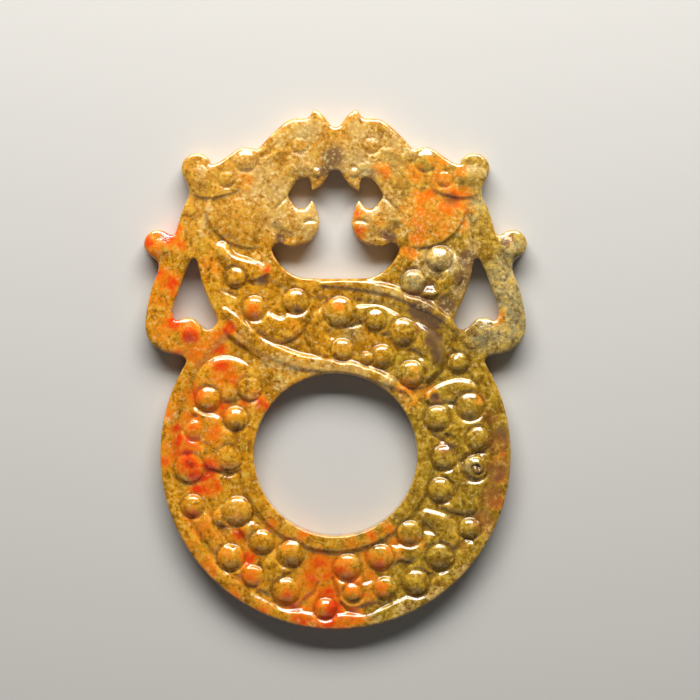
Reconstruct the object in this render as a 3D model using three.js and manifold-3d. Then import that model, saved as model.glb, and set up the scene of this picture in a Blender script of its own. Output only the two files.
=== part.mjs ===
// Openwork jade bi disc: a ring with a round hole, topped by two dragons that meet nose to nose.
// Their necks cross above the ring, so that the whole outline is a figure of eight.
// One flat piece of stone, carved on its front. It lies on its back: the carving faces +Z, the heads
// point to +Y, and +X is the viewer's right. Units are millimetres. The origin is the centre of the back.
import * as THREE from 'three';
import { mergeVertices } from 'three/addons/utils/BufferGeometryUtils.js';
import Module from 'manifold-3d';

const wasm = await Module();
wasm.setup();

// ---------------------------------------------------------------- driving dimensions
const HALF_LENGTH = 75.6;        // horn tips to the foot of the ring is twice this
const RING_RADIUS = 51;
const RING_CENTRE_Y = RING_RADIUS - HALF_LENGTH;
const HOLE_RADIUS = 23.7;
const INNER_RIM = 4.6;           // plain band around the hole
const OUTER_RIM = 4.4;           // plain band along the ring's outside
const RIM_SHIFT = 0.8;           // the outer band is that much wider at the right than at the left

const PLATE_TOP = 6.4;           // the rims, necks and heads
const RING_GROUND = 5.5;         // cut back between the clouds of the ring
const STRAND_GROUND = 6.0;       // the left dragon's neck, which passes over the right one's
const STRAND_STEP = 6.3;         // plain fillet outside the neck's lower ridge
const STRAND_RIDGE = 6.9;        // the two ridges that edge the neck
const CLOUD_RISE = 0.9;          // a cloud stands that high above its ground
const GRAIN_RISE = 0.23;         // a grain's dome is that share of its radius higher than its cloud
const EDGE_BEVEL = 0.9;          // worn edge along the outline and the holes, at the front
const BACK_BEVEL = 0.6;
const CLOUD_SLOPE = 0.7;         // a cloud's sides lean in by this, from its foot in the stone to its top
const RIDGE_SLOPE = 0.5;
const GROOVE_DEPTH = 0.6;
const OVERLAP = 0.6;             // how deep a raised form reaches into the stone below it
const ARC_STEP = Math.PI / 30;   // one side of the ring's outline
const GRAIN_SIDES = 7;

// ---------------------------------------------------------------- outlines
// A run of an outline is a smooth curve through its points; runs meet in sharp corners.
const smooth = (points, steps) =>
  new THREE.SplineCurve(points.map(([x, y]) => new THREE.Vector2(x, y))).getPoints(steps);

const arc = (x, y, radius, fromDegrees, toDegrees) => {
  const from = THREE.MathUtils.degToRad(fromDegrees);
  const to = THREE.MathUtils.degToRad(toDegrees);
  const count = Math.max(3, Math.round(Math.abs(to - from) / ARC_STEP / Math.sqrt(RING_RADIUS / radius) * 1.2));
  const points = [];
  for (let i = 0; i <= count; i += 1) {
    const angle = from + (to - from) * i / count;
    points.push(new THREE.Vector2(x + radius * Math.cos(angle), y + radius * Math.sin(angle)));
  }
  return points;
};

// Joins the runs of a right half and mirrors them to the left, which closes the outline.
const mirroredShape = (runs) => {
  const right = dropDoubles(runs.flat());
  const left = right.filter((p) => p.x > 0.05).map((p) => new THREE.Vector2(-p.x, p.y)).reverse();
  return new THREE.Shape(dropDoubles([...right, ...left]));
};

const dropDoubles = (points) => points.filter((p, i) => i === 0 || p.distanceTo(points[i - 1]) > 0.05);

const discOutline = () => mirroredShape([
  [new THREE.Vector2(0, 70.3)],
  smooth([[0.4, 70.4], [1.5, 70.9], [2.7, 72.9], [4.4, 74.6], [6, HALF_LENGTH]], 5),
  smooth([[6, HALF_LENGTH], [6.7, 74.9], [7.5, 73.4], [8.8, 72.8], [12.3, 72.8], [15.4, 71.1], [19.2, 67.6],
    [22.5, 63.9]], 13),
  smooth([[22.5, 63.9], [26.8, 64.6], [30.2, 62.7], [34, 60.1], [36.3, 59.6]], 8),
  arc(40.1, 58.4, 4.5, 145, -35),
  smooth([[43.8, 55.8], [42.2, 51.4], [44.2, 46.8], [45.9, 41.3]], 8),
  smooth([[45.9, 41.3], [46.6, 39.3], [48.2, 39.4], [49.7, 40.4]], 4),
  arc(51.4, 36.6, 4.1, 114, -28),
  smooth([[55, 34.7], [53.7, 33.3], [51.3, 31.2], [51.6, 28], [52.9, 25], [54.6, 18.6], [55.2, 12.3],
    [53.7, 8.2], [50, 5.4], [45.3, 4.4], [43.6, 3.6]], 20),
  arc(0, RING_CENTRE_Y, RING_RADIUS, 32, -90),
]);

const crescentOutline = () => mirroredShape([
  smooth([[0, 57.9], [1.2, 57.8], [3, 54.9], [4.7, 53], [6.9, 52]], 7),
  smooth([[6.9, 52], [7.3, 55.1], [9.1, 55.8], [11, 54.9], [12.5, 53], [13.8, 50.6], [12.8, 48.9],
    [11.4, 47.3], [9.4, 46.8], [8.2, 47.5], [6.9, 49.3]], 18),
  smooth([[6.9, 49.3], [5.9, 47.9], [4.7, 43.3], [4.8, 41.3], [5.6, 39.5], [7.2, 37.5], [9.1, 36.6],
    [11.7, 35.9], [13.8, 35.9], [15.5, 36.7], [17, 36.9], [18.4, 35.4], [17.9, 33.4], [15.6, 30.1],
    [11.9, 27.5], [8.5, 26.7], [0, 26.6]], 30),
]);

const sideGapOutline = (side) => {
  const points = smooth([[41.6, 32.3], [43.7, 27.9], [45.9, 21.8], [47.3, 17.5], [46.5, 14.4], [43.7, 15.2],
    [41.2, 15], [39.2, 13.2], [36.8, 11.7], [34.1, 14.3], [36.5, 19.6], [38.9, 26], [40.2, 31.9],
    [41.6, 32.3]], 26);
  points.pop();
  return new THREE.Shape(points.map((p) => new THREE.Vector2(side * p.x, p.y)));
};

const circleOutline = (x, y, radius, sides) =>
  new THREE.Shape(new THREE.EllipseCurve(x, y, radius, radius).getPoints(sides).slice(0, -1));

// A stroke is a curved line with a width: [x, y, half width] at each of its points, with round ends.
const strokeSamples = (stroke, perPoint) => {
  const line = stroke.map(([x, y, r]) => new THREE.Vector3(x, y, r));
  return new THREE.CatmullRomCurve3(line, false, 'centripetal').getPoints((stroke.length - 1) * perPoint);
};

const strokeOutline = (stroke, perPoint = 2, capSteps = 4) => {
  const samples = strokeSamples(stroke, perPoint);
  const sides = [[], []];
  const headings = samples.map((p, i) => {
    const a = samples[Math.max(0, i - 1)];
    const b = samples[Math.min(samples.length - 1, i + 1)];
    return Math.atan2(b.y - a.y, b.x - a.x);
  });
  samples.forEach((p, i) => {
    [1, -1].forEach((side, k) => {
      const angle = headings[i] + side * Math.PI / 2;
      sides[k].push(new THREE.Vector2(p.x + p.z * Math.cos(angle), p.y + p.z * Math.sin(angle)));
    });
  });
  const cap = (p, from) => {
    const points = [];
    for (let i = 1; i < capSteps; i += 1) {
      const angle = from - Math.PI * i / capSteps;
      points.push(new THREE.Vector2(p.x + p.z * Math.cos(angle), p.y + p.z * Math.sin(angle)));
    }
    return points;
  };
  const last = samples.length - 1;
  const loop = [...sides[0], ...cap(samples[last], headings[last] + Math.PI / 2),
    ...sides[1].reverse(), ...cap(samples[0], headings[0] - Math.PI / 2)];
  const buried = (q) => samples.some((p) => Math.hypot(q.x - p.x, q.y - p.y) < 0.97 * p.z);
  return new THREE.Shape(dropDoubles(loop.filter((q) => !buried(q))));
};

// ---------------------------------------------------------------- solids
const solid = (geometry) => {
  geometry.deleteAttribute('normal');
  geometry.deleteAttribute('uv');
  const merged = mergeVertices(geometry, 1e-4);
  const faces = [];
  const index = merged.index.array;
  for (let i = 0; i < index.length; i += 3) {
    const [a, b, c] = [index[i], index[i + 1], index[i + 2]];
    if (a !== b && b !== c && c !== a) {
      faces.push(a, b, c);
    }
  }
  return new wasm.Manifold(new wasm.Mesh({
    numProp: 3,
    vertProperties: new Float32Array(merged.attributes.position.array),
    triVerts: new Uint32Array(faces),
  }));
};

// Points on a straight line are left out of an outline, because its faces would not use them.
const settled = (points) => {
  const used = new Set(THREE.ShapeUtils.triangulateShape([...points], []).flat());
  return used.size === points.length ? points : settled(points.filter((p, i) => used.has(i)));
};

const distanceToEdge = (q, a, b) => {
  const along = new THREE.Vector2().subVectors(b, a);
  const t = THREE.MathUtils.clamp(new THREE.Vector2().subVectors(q, a).dot(along) / along.lengthSq(), 0, 1);
  return q.distanceTo(along.multiplyScalar(t).add(a));
};

// Each point of an outline drawn in by a distance, or out by a negative one. Slender tips are drawn in
// by less, so that their two sides never cross.
const drawnIn = (points, distance) => {
  const turn = THREE.ShapeUtils.isClockWise(points) ? -1 : 1;
  const inward = (a, b) => new THREE.Vector2(a.y - b.y, b.x - a.x).normalize().multiplyScalar(turn);
  const next = (i) => points[(i + 1) % points.length];
  return points.map((p, i) => {
    const before = inward(points[(i + points.length - 1) % points.length], p);
    const middle = inward(p, next(i)).add(before).normalize();
    let reach = distance / Math.max(0.7, middle.dot(before));
    const moved = () => new THREE.Vector2(p.x + reach * middle.x, p.y + reach * middle.y);
    const tooNear = () => points.some((a, k) =>
      distanceToEdge(moved(), a, next(k)) < 0.8 * Math.min(Math.abs(reach), Math.abs(distance)));
    for (let tries = 0; tries < 9 && tooNear(); tries += 1) {
      reach *= 0.75;
    }
    return moved();
  });
};

const hundredths = (p) => new THREE.Vector2(Math.round(100 * p.x) / 100, Math.round(100 * p.y) / 100);

// An outline raised through levels, each [height, how far its outline is drawn in].
const slab = (shape, levels) => {
  const points = settled(shape.getPoints(1).map(hundredths));
  const steps = levels.length - 1;
  const geometry = new THREE.ExtrudeGeometry(new THREE.Shape(points), { depth: steps, steps, bevelEnabled: false });
  const key = (x, y) => `${Math.round(100 * x)} ${Math.round(100 * y)}`;
  const places = levels.map(([, inset]) => {
    const moved = inset === 0 ? points : drawnIn(points, inset);
    return new Map(points.map((p, i) => [key(p.x, p.y), moved[i]]));
  });
  const position = geometry.attributes.position;
  for (let i = 0; i < position.count; i += 1) {
    const level = Math.round(position.getZ(i));
    const place = places[level].get(key(position.getX(i), position.getY(i)));
    position.setXYZ(i, place.x, place.y, levels[level][0]);
  }
  return solid(geometry);
};

const raised = (shape, bottom, top) => slab(shape, [[bottom, 0], [top, 0]]);

// A raised form whose sides lean in above the ground that it stands on.
const leaning = (shape, ground, top, slope) => slab(shape, [[ground - OVERLAP, 0], [ground, 0], [top, slope]]);

// A hole's wall is upright, and flares towards both faces by the worn edge.
const hole = (shape) => {
  const clear = 2;
  return slab(shape, [[-clear, -BACK_BEVEL], [0, -BACK_BEVEL], [BACK_BEVEL, 0], [PLATE_TOP - EDGE_BEVEL, 0],
    [PLATE_TOP, -EDGE_BEVEL], [PLATE_TOP + clear, -EDGE_BEVEL]]);
};

// A low dome: a grain. Its foot lies in the stone, and it has its radius at the height called foot.
const dome = ([x, y, radius], foot, top) => {
  const buried = radius * 1.1;
  const profile = [[0, foot - OVERLAP], [buried, foot - OVERLAP], [radius * 0.68, foot + (top - foot) * 0.62],
    [0, top]];
  const geometry = new THREE.LatheGeometry(profile.map(([r, z]) => new THREE.Vector2(r, z)), GRAIN_SIDES);
  geometry.rotateX(Math.PI / 2);
  geometry.translate(x, y, 0);
  return solid(geometry);
};

// ---------------------------------------------------------------- relief
// Clouds are hooked and tapering strokes. Grains are domes on them or between them: [x, y, radius].
const RING_CLOUDS = [
  [[-38, -8.5, 3.2], [-37, -3, 3.8], [-32.5, 0, 4.1], [-27.5, -1.5, 3.8], [-25, -5.5, 3.2]],
  [[-40.5, -12, 1.2], [-37.5, -13.5, 1.4], [-34.5, -15, 1.7]],
  [[-39.5, -17, 3.5], [-34, -20, 4.1], [-31, -25.5, 4.2]],
  [[-41, -18, 3.2], [-43, -22.5, 3.2], [-42.5, -28.5, 4.6]],
  [[-39.5, -24.5, 3.5], [-34.5, -26.5, 2.9]],
  [[-41.5, -39.5, 3.2], [-38.5, -46.5, 3.8], [-34.5, -53, 4.3], [-28.5, -59.5, 4.3], [-23.5, -61, 3.8]],
  [[-33, -43, 2.6], [-28.5, -41, 4.3]],
  [[-25.5, -46, 2.3], [-21.5, -50, 3.6]],
  [[-12.5, -53.5, 4.1], [-17.5, -57.5, 3.8], [-18.5, -62.5, 4.1], [-14.5, -64.5, 4.6]],
  [[3.5, -57.5, 4.1], [4, -63.5, 4.1], [7.5, -66.5, 4.3], [14.5, -64, 3.8]],
  [[13, -54.5, 3.9], [18, -53.5, 2.3]],
  [[26.5, -42.5, 2], [31.5, -45.5, 3.2], [33.5, -51, 4.1], [30.5, -54.5, 4.3]],
  [[29.5, -55.5, 4.1], [25.5, -57.5, 3.5], [23.5, -61.5, 4.1]],
  [[21.5, -47.5, 3.8], [25.5, -50.5, 2.6]],
  [[30.5, -35, 3.9], [34.5, -38, 3.6], [40, -37.5, 4.1], [42, -32, 3.5], [40.5, -28, 3.5]],
  [[28, -8, 2], [32.5, -6.5, 3.2], [37.5, -6.5, 3.8], [40, -10.5, 3.9], [39.5, -16, 4.3], [38, -21, 4.1]],
  [[29.5, -14, 3.8], [33, -16.5, 2.3]],
  [[31.5, -25.5, 3.8], [35.5, -22.5, 3.8]],
];
const STRAND_CLOUDS = [
  [[-11.5, 20, 3.8], [-11, 15, 3.5], [-15.5, 11.5, 3.8], [-21, 14, 3.5], [-23.5, 18, 3.5]],
  [[2, 17, 4.6], [-3, 15, 3.2], [-5.5, 11, 3.2], [-3, 6.5, 3.2], [2, 6, 3.2]],
  [[7.5, 17, 2], [12, 15, 3.8], [16.5, 13.5, 3.2]],
  [[13.5, 4, 3.5], [9, 3.5, 2.3]],
  [[19.5, 11, 4.1], [24.5, 9, 3.8], [28.5, 5.5, 3.5], [27.5, 1, 3.2], [22, -1, 3.8]],
];
const NECK_CLOUDS = [
  [[-32.5, 34.5, 2.3], [-28.5, 30.5, 2.9], [-23, 28.5, 2.9]],
  [[30, 32.5, 3.6], [34, 29, 3.2], [32, 24.5, 2.6], [27.5, 22.5, 2], [22.5, 25.5, 3.6]],
];
const RING_GRAINS = [
  [-37, -8.5, 3.5], [-25, -5.5, 3.5], [-29, -14, 3.6], [-41, -17.5, 2.9], [-31, -25.5, 3.6],
  [-42.5, -28.5, 4.3], [-28.5, -41, 4.1], [-41.5, -39.5, 3.2], [-21.5, -50, 3.3], [-30.5, -54.5, 3.8],
  [-24, -60.5, 2.9], [-13, -53.5, 3.8], [-14.5, -64.5, 3.8], [-3, -69.5, 3], [3.5, -57.5, 3.8],
  [5, -65, 2.6], [13, -54.5, 3.6], [14.5, -63.5, 3.2], [21.5, -47.5, 3.5], [23.5, -62, 3.8],
  [30.5, -54.5, 3.8], [39, -46, 3], [30.5, -35, 3.5], [40.5, -28.5, 3.5], [31.5, -25.5, 3.5],
  [41.5, -20, 3.5], [29.5, -14, 3.5], [39, -10.5, 3.8], [35.5, 2, 2.9],
];
const STRAND_GRAINS = [
  [-23.5, 18, 3.3], [-11.5, 20, 3.5], [1, 17, 4.3], [11.5, 14.5, 2.9], [19.5, 11, 3.8], [2, 6, 3],
  [13.5, 4, 3.2], [9, 3.5, 1.7], [22, -1, 3.6],
];
const NECK_GRAINS = [
  [-29, 26, 3], [-23, 28.5, 2.5], [30, 32.5, 3.5], [22.5, 25.5, 3.5],
];

// The neck that passes over is edged by two ridges.
const LOWER_RIDGE = [[-32, 17.5, 0.7], [-27, 13, 1], [-22, 8, 1.2], [-16, 5, 1.3], [-10.5, 3, 1.3],
  [-3.5, 2, 1.2], [4.5, 1, 1.1], [12.5, -1.5, 1], [19.5, -5, 0.6]];
const UPPER_RIDGE = [[-4, 25.5, 0.6], [4.5, 25.3, 1], [15, 23.7, 1.1], [23.5, 20.3, 1.1], [29.5, 17, 1],
  [35, 12.5, 0.9], [39, 7.5, 0.7]];
// Its plain fillet lies between the lower ridge and this edge, where the ring goes under it.
const FILLET_EDGE = [[-34.5, 15.5], [-30.5, 10], [-24.5, 5.5], [-19, 1.5], [-10.5, -1.5]];

// ---------------------------------------------------------------- heads and limbs, the same on both sides
const HEAD_DOMES = [
  [25.5, 60, 2.8],       // brow and eye
  [31.75, 54.25, 2.9],   // root of the ear
  [40.1, 58.4, 3.3],     // curled ear
  [11.75, 64.25, 2.9],   // nostril
  [5.5, 58.9, 1.2],      // root of the fang
  [51.4, 36.6, 3],       // claw
  [42, 10.75, 3.2],      // elbow
];
const HEAD_GROOVES = [
  [[29, 51.9, 0.4], [33.25, 50.75, 0.6], [36.5, 50.2, 0.6], [41.5, 50.9, 0.5]],
  [[22.75, 35.5, 0.3], [27, 35.9, 0.6], [31.5, 38.6, 0.6], [35, 42.5, 0.6], [37.25, 47, 0.3]],
  [[39, 48, 0.3], [40.4, 42, 0.6], [40.3, 35, 0.6], [40.9, 33, 0.5]],
  [[8.3, 59.6, 0.3], [11.5, 57.9, 0.6], [14.3, 56.6, 0.3]],
  [[14.6, 49.8, 0.6], [17.25, 47, 0.3]],
  [[21.5, 57.5, 0.3], [24.5, 56, 0.6], [29.5, 58, 0.5], [30.6, 60.4, 0.3]],
  [[46.3, 37.2, 0.3], [47.8, 33.8, 0.6], [51.3, 32.7, 0.3]],
  [[36.4, 54.3, 0.3], [35.6, 57.8, 0.5], [37.6, 61, 0.3]],
];
const JAW_HOLLOW = [[17.3, 41.2, 1.2], [15.8, 39.2, 1.7], [13.4, 38.6, 1.2]];

// ---------------------------------------------------------------- building the disc
const add = (body, parts) => parts.reduce((whole, part) => whole.add(part), body);
const cut = (body, parts) => parts.reduce((whole, part) => whole.subtract(part), body);
const mirrored = (points) => points.map(([x, y, r]) => [-x, y, r]);

const ringGround = () => {
  const outer = RING_RADIUS - OUTER_RIM;
  const pocket = raised(circleOutline(-RIM_SHIFT, RING_CENTRE_Y, outer, 44), RING_GROUND, PLATE_TOP + 1);
  const island = raised(circleOutline(0, RING_CENTRE_Y, HOLE_RADIUS + INNER_RIM, 36), 0, PLATE_TOP + 2);
  return pocket.subtract(island);
};

// The crossing neck, from its upper ridge down to its lower one.
const strandShape = () => {
  const upper = strokeSamples(UPPER_RIDGE, 2).map((p) => new THREE.Vector2(p.x, p.y));
  const lower = strokeSamples(LOWER_RIDGE, 2).map((p) => new THREE.Vector2(p.x, p.y)).reverse();
  return new THREE.Shape(dropDoubles([...upper, new THREE.Vector2(36, 4), new THREE.Vector2(28, -4), ...lower]));
};

const filletShape = () => {
  const ridge = strokeSamples(LOWER_RIDGE, 2).slice(0, 9).map((p) => new THREE.Vector2(p.x, p.y));
  return new THREE.Shape(dropDoubles([...ridge, ...smooth(FILLET_EDGE, 10).reverse()]));
};

const carve = () => {
  const strand = strandShape();
  const foot = RING_GROUND - OVERLAP;
  const open = PLATE_TOP + 1;
  let body = slab(discOutline(), [[0, BACK_BEVEL], [BACK_BEVEL, 0], [PLATE_TOP - EDGE_BEVEL, 0],
    [PLATE_TOP, EDGE_BEVEL]]);
  body = cut(body, [ringGround(), raised(strand, RING_GROUND, open)]);
  body = add(body, [
    raised(strand, foot, STRAND_GROUND),
    raised(filletShape(), foot, STRAND_STEP),
    leaning(strokeOutline(LOWER_RIDGE), STRAND_GROUND, STRAND_RIDGE, RIDGE_SLOPE),
    leaning(strokeOutline(UPPER_RIDGE), STRAND_GROUND, STRAND_RIDGE, RIDGE_SLOPE),
  ]);
  const sunk = [...HEAD_GROOVES.map((groove) => strokeOutline(groove, 2, 2)),
    ...HEAD_GROOVES.map((groove) => strokeOutline(mirrored(groove), 2, 2)),
    strokeOutline(JAW_HOLLOW), strokeOutline(mirrored(JAW_HOLLOW))];
  body = cut(body, sunk.map((shape) => raised(shape, PLATE_TOP - GROOVE_DEPTH, open)));

  const levels = [
    [RING_GROUND, RING_CLOUDS, RING_GRAINS],
    [STRAND_GROUND, STRAND_CLOUDS, STRAND_GRAINS],
    [STRAND_GROUND, NECK_CLOUDS, NECK_GRAINS],
  ];
  levels.forEach(([ground, clouds, grains]) => {
    const top = ground + CLOUD_RISE;
    body = add(body, clouds.map((cloud) => leaning(strokeOutline(cloud), ground, top, CLOUD_SLOPE)));
    body = add(body, grains.map((grain) => dome(grain, ground + 0.3, top + GRAIN_RISE * grain[2])));
  });
  const domes = [...HEAD_DOMES, ...mirrored(HEAD_DOMES)];
  body = add(body, domes.map((d) => dome(d, PLATE_TOP, PLATE_TOP + GRAIN_RISE * d[2])));
  return cut(body, [
    hole(circleOutline(0, RING_CENTRE_Y, HOLE_RADIUS, 48)),
    hole(crescentOutline()),
    hole(sideGapOutline(1)),
    hole(sideGapOutline(-1)),
  ]);
};

const discGeometry = () => {
  const mesh = carve().getMesh();
  const geometry = new THREE.BufferGeometry();
  geometry.setAttribute('position', new THREE.BufferAttribute(new Float32Array(mesh.vertProperties), 3));
  geometry.setIndex(new THREE.BufferAttribute(new Uint32Array(mesh.triVerts), 1));
  return geometry;
};

const jade = new THREE.MeshStandardMaterial({ color: 0xa88a3c, roughness: 0.3, metalness: 0 });
const disc = new THREE.Mesh(discGeometry(), jade);
disc.name = 'jade_disc';

const group = new THREE.Group();
group.add(disc);
export default group;
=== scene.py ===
"""An openwork jade bi disc with two dragons, lying on its back on a pale floor."""

import math

import bpy
import numpy as np
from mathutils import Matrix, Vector


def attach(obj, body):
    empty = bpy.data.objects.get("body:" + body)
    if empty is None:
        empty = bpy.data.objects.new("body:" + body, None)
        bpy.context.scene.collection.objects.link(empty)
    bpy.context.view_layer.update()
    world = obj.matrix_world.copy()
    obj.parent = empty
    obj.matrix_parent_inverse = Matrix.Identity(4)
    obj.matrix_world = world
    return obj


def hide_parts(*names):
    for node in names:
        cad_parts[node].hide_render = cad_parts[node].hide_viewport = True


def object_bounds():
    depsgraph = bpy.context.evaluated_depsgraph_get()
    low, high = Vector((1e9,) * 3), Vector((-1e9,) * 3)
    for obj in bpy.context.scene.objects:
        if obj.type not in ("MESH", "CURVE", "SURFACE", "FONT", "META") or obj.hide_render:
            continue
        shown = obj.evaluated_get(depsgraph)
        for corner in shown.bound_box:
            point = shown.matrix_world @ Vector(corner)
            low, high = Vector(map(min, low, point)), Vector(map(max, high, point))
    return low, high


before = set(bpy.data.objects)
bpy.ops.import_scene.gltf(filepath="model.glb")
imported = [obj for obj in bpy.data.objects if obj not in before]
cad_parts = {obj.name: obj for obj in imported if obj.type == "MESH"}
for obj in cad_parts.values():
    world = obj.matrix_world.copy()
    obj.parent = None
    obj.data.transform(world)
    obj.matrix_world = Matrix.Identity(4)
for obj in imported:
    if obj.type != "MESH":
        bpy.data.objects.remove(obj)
cad_low, cad_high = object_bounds()


# ---- The view ---------------------------------------------------------------------------------
# The disc lies flat, so the camera hangs over it and looks down, a little from the side of the
# dragons' heads. The heads are at the top of the picture.

VIEW_DISTANCE = 0.78
VIEW_TILT = math.radians(2.5)          # from straight down, towards the heads
VIEW_AIM = (0.0042, 0.0060)          # the picture's centre, to the right of and above the disc's
PICTURE_WIDTH = 0.2024               # at the height of the carved face

camera_data = bpy.data.cameras.new("camera")
camera_data.sensor_width = 36
camera_data.lens = camera_data.sensor_width * VIEW_DISTANCE / PICTURE_WIDTH
camera_data.clip_start = 0.01
camera = bpy.data.objects.new("camera", camera_data)
bpy.context.scene.collection.objects.link(camera)
camera.location = (
    VIEW_AIM[0],
    VIEW_AIM[1] + VIEW_DISTANCE * math.sin(VIEW_TILT),
    cad_high.z + VIEW_DISTANCE * math.cos(VIEW_TILT),
)
camera.rotation_euler = (-VIEW_TILT, 0, 0)
bpy.context.scene.camera = camera
bpy.context.scene.view_settings.view_transform = "Standard"


# ---- The floor and the light ------------------------------------------------------------------
# A plain pale table top, a soft lamp beyond the heads that glances along the carving, and a much
# weaker broad one over the foot of the disc.

bpy.ops.object.select_all(action="DESELECT")
bpy.ops.mesh.primitive_plane_add(size=6, location=(0, 0, 0))
floor = bpy.context.object
floor.name = "floor"
floor_paint = bpy.data.materials.new("pale_floor")
floor_paint.use_nodes = True
floor_shader = floor_paint.node_tree.nodes["Principled BSDF"]
floor_shader.inputs["Base Color"].default_value = (0.60, 0.59, 0.57, 1)
floor_shader.inputs["Roughness"].default_value = 0.6
floor.data.materials.append(floor_paint)


def softbox(name, place, size, watts, colour):
    """A rectangular lamp at a place, facing the disc."""
    data = bpy.data.lights.new(name, "AREA")
    data.shape = "RECTANGLE"
    data.size, data.size_y = size
    data.energy = watts
    data.color = colour
    lamp = bpy.data.objects.new(name, data)
    bpy.context.scene.collection.objects.link(lamp)
    lamp.location = place
    lamp.rotation_euler = (-Vector(place)).to_track_quat("-Z", "Y").to_euler()
    return lamp


softbox("key_lamp", (0.0, 0.60, 0.42), (0.8, 0.32), 11.2, (1.0, 0.98, 0.94))
softbox("fill_lamp", (0.0, -0.75, 0.75), (1.2, 0.8), 0.8, (1.0, 0.99, 0.97))

world = bpy.data.worlds.new("studio")
world.use_nodes = True
world.node_tree.nodes["Background"].inputs["Color"].default_value = (0.95, 0.97, 1, 1)
world.node_tree.nodes["Background"].inputs["Strength"].default_value = 0.03
bpy.context.scene.world = world


# ---- The blank --------------------------------------------------------------------------------
# The whole disc is one slab of jade, sawn flat and pierced. Its outline and its openings are the CAD
# solid's own: the solid is cut across below the carving, the cut is raised and closed as a plain
# face, and all the edges are worn round, most of all those of the heads and the arms.

MM = 0.001
FINE_CELL = 0.27 * MM          # of the grid that the blank is remade in
PLATE_TOP = 6.4                # mm, the uncarved face
SAW_HEIGHT = 3.0               # mm, where all walls are upright
FACE_ARRIS = 1.6               # mm, how far down the walls the rounding of the front edges reaches
FULL_ARRIS = 2                 # and on the heads and the arms
BACK_ARRIS = 0.9               # and how far up from the back
HEADS_FROM_Y = 33
ARMS_FROM_X = 42
ARMS_FROM_Y = 4

blank_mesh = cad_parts["jade_disc"].data.copy()
blank_mesh.materials.clear()
disc = bpy.data.objects.new("carved_disc", blank_mesh)
bpy.context.scene.collection.objects.link(disc)
bpy.ops.object.select_all(action="DESELECT")
disc.select_set(True)
bpy.context.view_layer.objects.active = disc
bpy.ops.object.mode_set(mode="EDIT")
bpy.ops.mesh.select_all(action="SELECT")
bpy.ops.mesh.remove_doubles(threshold=0.000001)
bpy.ops.mesh.select_all(action="SELECT")
bpy.ops.mesh.bisect(plane_co=(0, 0, SAW_HEIGHT * MM), plane_no=(0, 0, 1), clear_outer=True)
bpy.ops.mesh.select_all(action="DESELECT")
bpy.ops.mesh.select_mode(type="EDGE")
bpy.ops.mesh.select_non_manifold(
    use_wire=False, use_multi_face=False, use_non_contiguous=False, use_verts=False)
bpy.ops.mesh.extrude_region_move(
    TRANSFORM_OT_translate={"value": (0, 0, (PLATE_TOP - SAW_HEIGHT) * MM)})
bpy.ops.mesh.fill()
bpy.ops.mesh.select_all(action="SELECT")
bpy.ops.mesh.normals_make_consistent(inside=False)
bpy.ops.object.mode_set(mode="OBJECT")


def finish_with(piece, kind, **settings):
    """Adds a modifier to a piece and applies it."""
    modifier = piece.modifiers.new(kind.title(), kind)
    for name, value in settings.items():
        setattr(modifier, name, value)
    bpy.context.view_layer.objects.active = piece
    bpy.ops.object.modifier_apply(modifier=modifier.name)


def points_of(piece):
    """The places of a piece's points, one row each, in mm."""
    places = np.empty(len(piece.data.vertices) * 3, np.float32)
    piece.data.vertices.foreach_get("co", places)
    return places.reshape(-1, 3).astype(float) / MM


def put_points(piece, places):
    """Moves a piece's points to places given in mm, one row each."""
    piece.data.vertices.foreach_set("co", (places * MM).astype(np.float32).ravel())
    piece.data.update()


def name_points(piece, name, chosen):
    """A vertex group of the chosen points."""
    group = piece.vertex_groups.new(name=name)
    group.add([int(i) for i in np.flatnonzero(chosen)], 1.0, "REPLACE")
    return name


finish_with(disc, "REMESH", mode="VOXEL", voxel_size=FINE_CELL, adaptivity=0)
face_arris = name_points(disc, "face_arris", points_of(disc)[:, 2] > PLATE_TOP - FACE_ARRIS)
finish_with(disc, "SMOOTH", factor=0.5, iterations=26, vertex_group=face_arris)
back_arris = name_points(disc, "back_arris", points_of(disc)[:, 2] < BACK_ARRIS)
finish_with(disc, "SMOOTH", factor=0.5, iterations=10, vertex_group=back_arris)
blank_x, blank_y, blank_z = points_of(disc).T
on_arms = (np.abs(blank_x) > ARMS_FROM_X) & (blank_y > ARMS_FROM_Y)
outer_face = ((blank_y > HEADS_FROM_Y) | on_arms) & (blank_z > PLATE_TOP - FULL_ARRIS)
full_arris = name_points(disc, "full_arris", outer_face)
finish_with(disc, "SMOOTH", factor=0.5, iterations=130, use_x=False, use_y=False,
            vertex_group=full_arris)
disc.vertex_groups.clear()


# ---- The carving ------------------------------------------------------------------------------
# The face is ground and drilled by hand. The ground is cut back between clouds, which are hooked
# strokes with soft shoulders, and a round grain stands on each hook in a drilled moat. All of it is
# worked out as one height, in mm, and the blank's face is lowered or raised to it.

RING_Y = -24.6                 # the ring's centre
RING_RADIUS = 51.0
HOLE_RADIUS = 23.7
INNER_RIM = 4.6                # how wide the plain rims are
OUTER_RIM = 4.4
RIM_SHIFT = 0.8                # how far left of the hole's centre the sunk ground's centre lies
RING_GROUND = 5.5              # the heights of the sunk grounds
STRAND_GROUND = 6.0
FILLET_TOP = 6.55              # the heights of the left neck's lower border and its ridges
RIDGE_TOP = 6.9
CLOUD_RISE = 1.0               # of a cloud's crown over its ground
GRAIN_SEAT = 0.9               # a grain's peak stands this high, and so much of its radius more
GRAIN_RISE = 0.23
WORN_RISE = 0.12               # the same for a grain that is nearly worn away
GRAIN_MOAT = 0.65              # how deep the moats are
WORN_MOAT = 0.45
STEP_DEPTH = 0.55              # how far a cheek stands over the neck beside it
STEP_REACH = 4.5
LIP_RISE = 0.3
NECK_LINE_RISE = 0.35
HEAD_GROOVE = 0.48             # how deep the fine cuts are
FINE_GROOVE = 0.45
HOLLOW_DEPTH = 0.7
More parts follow.
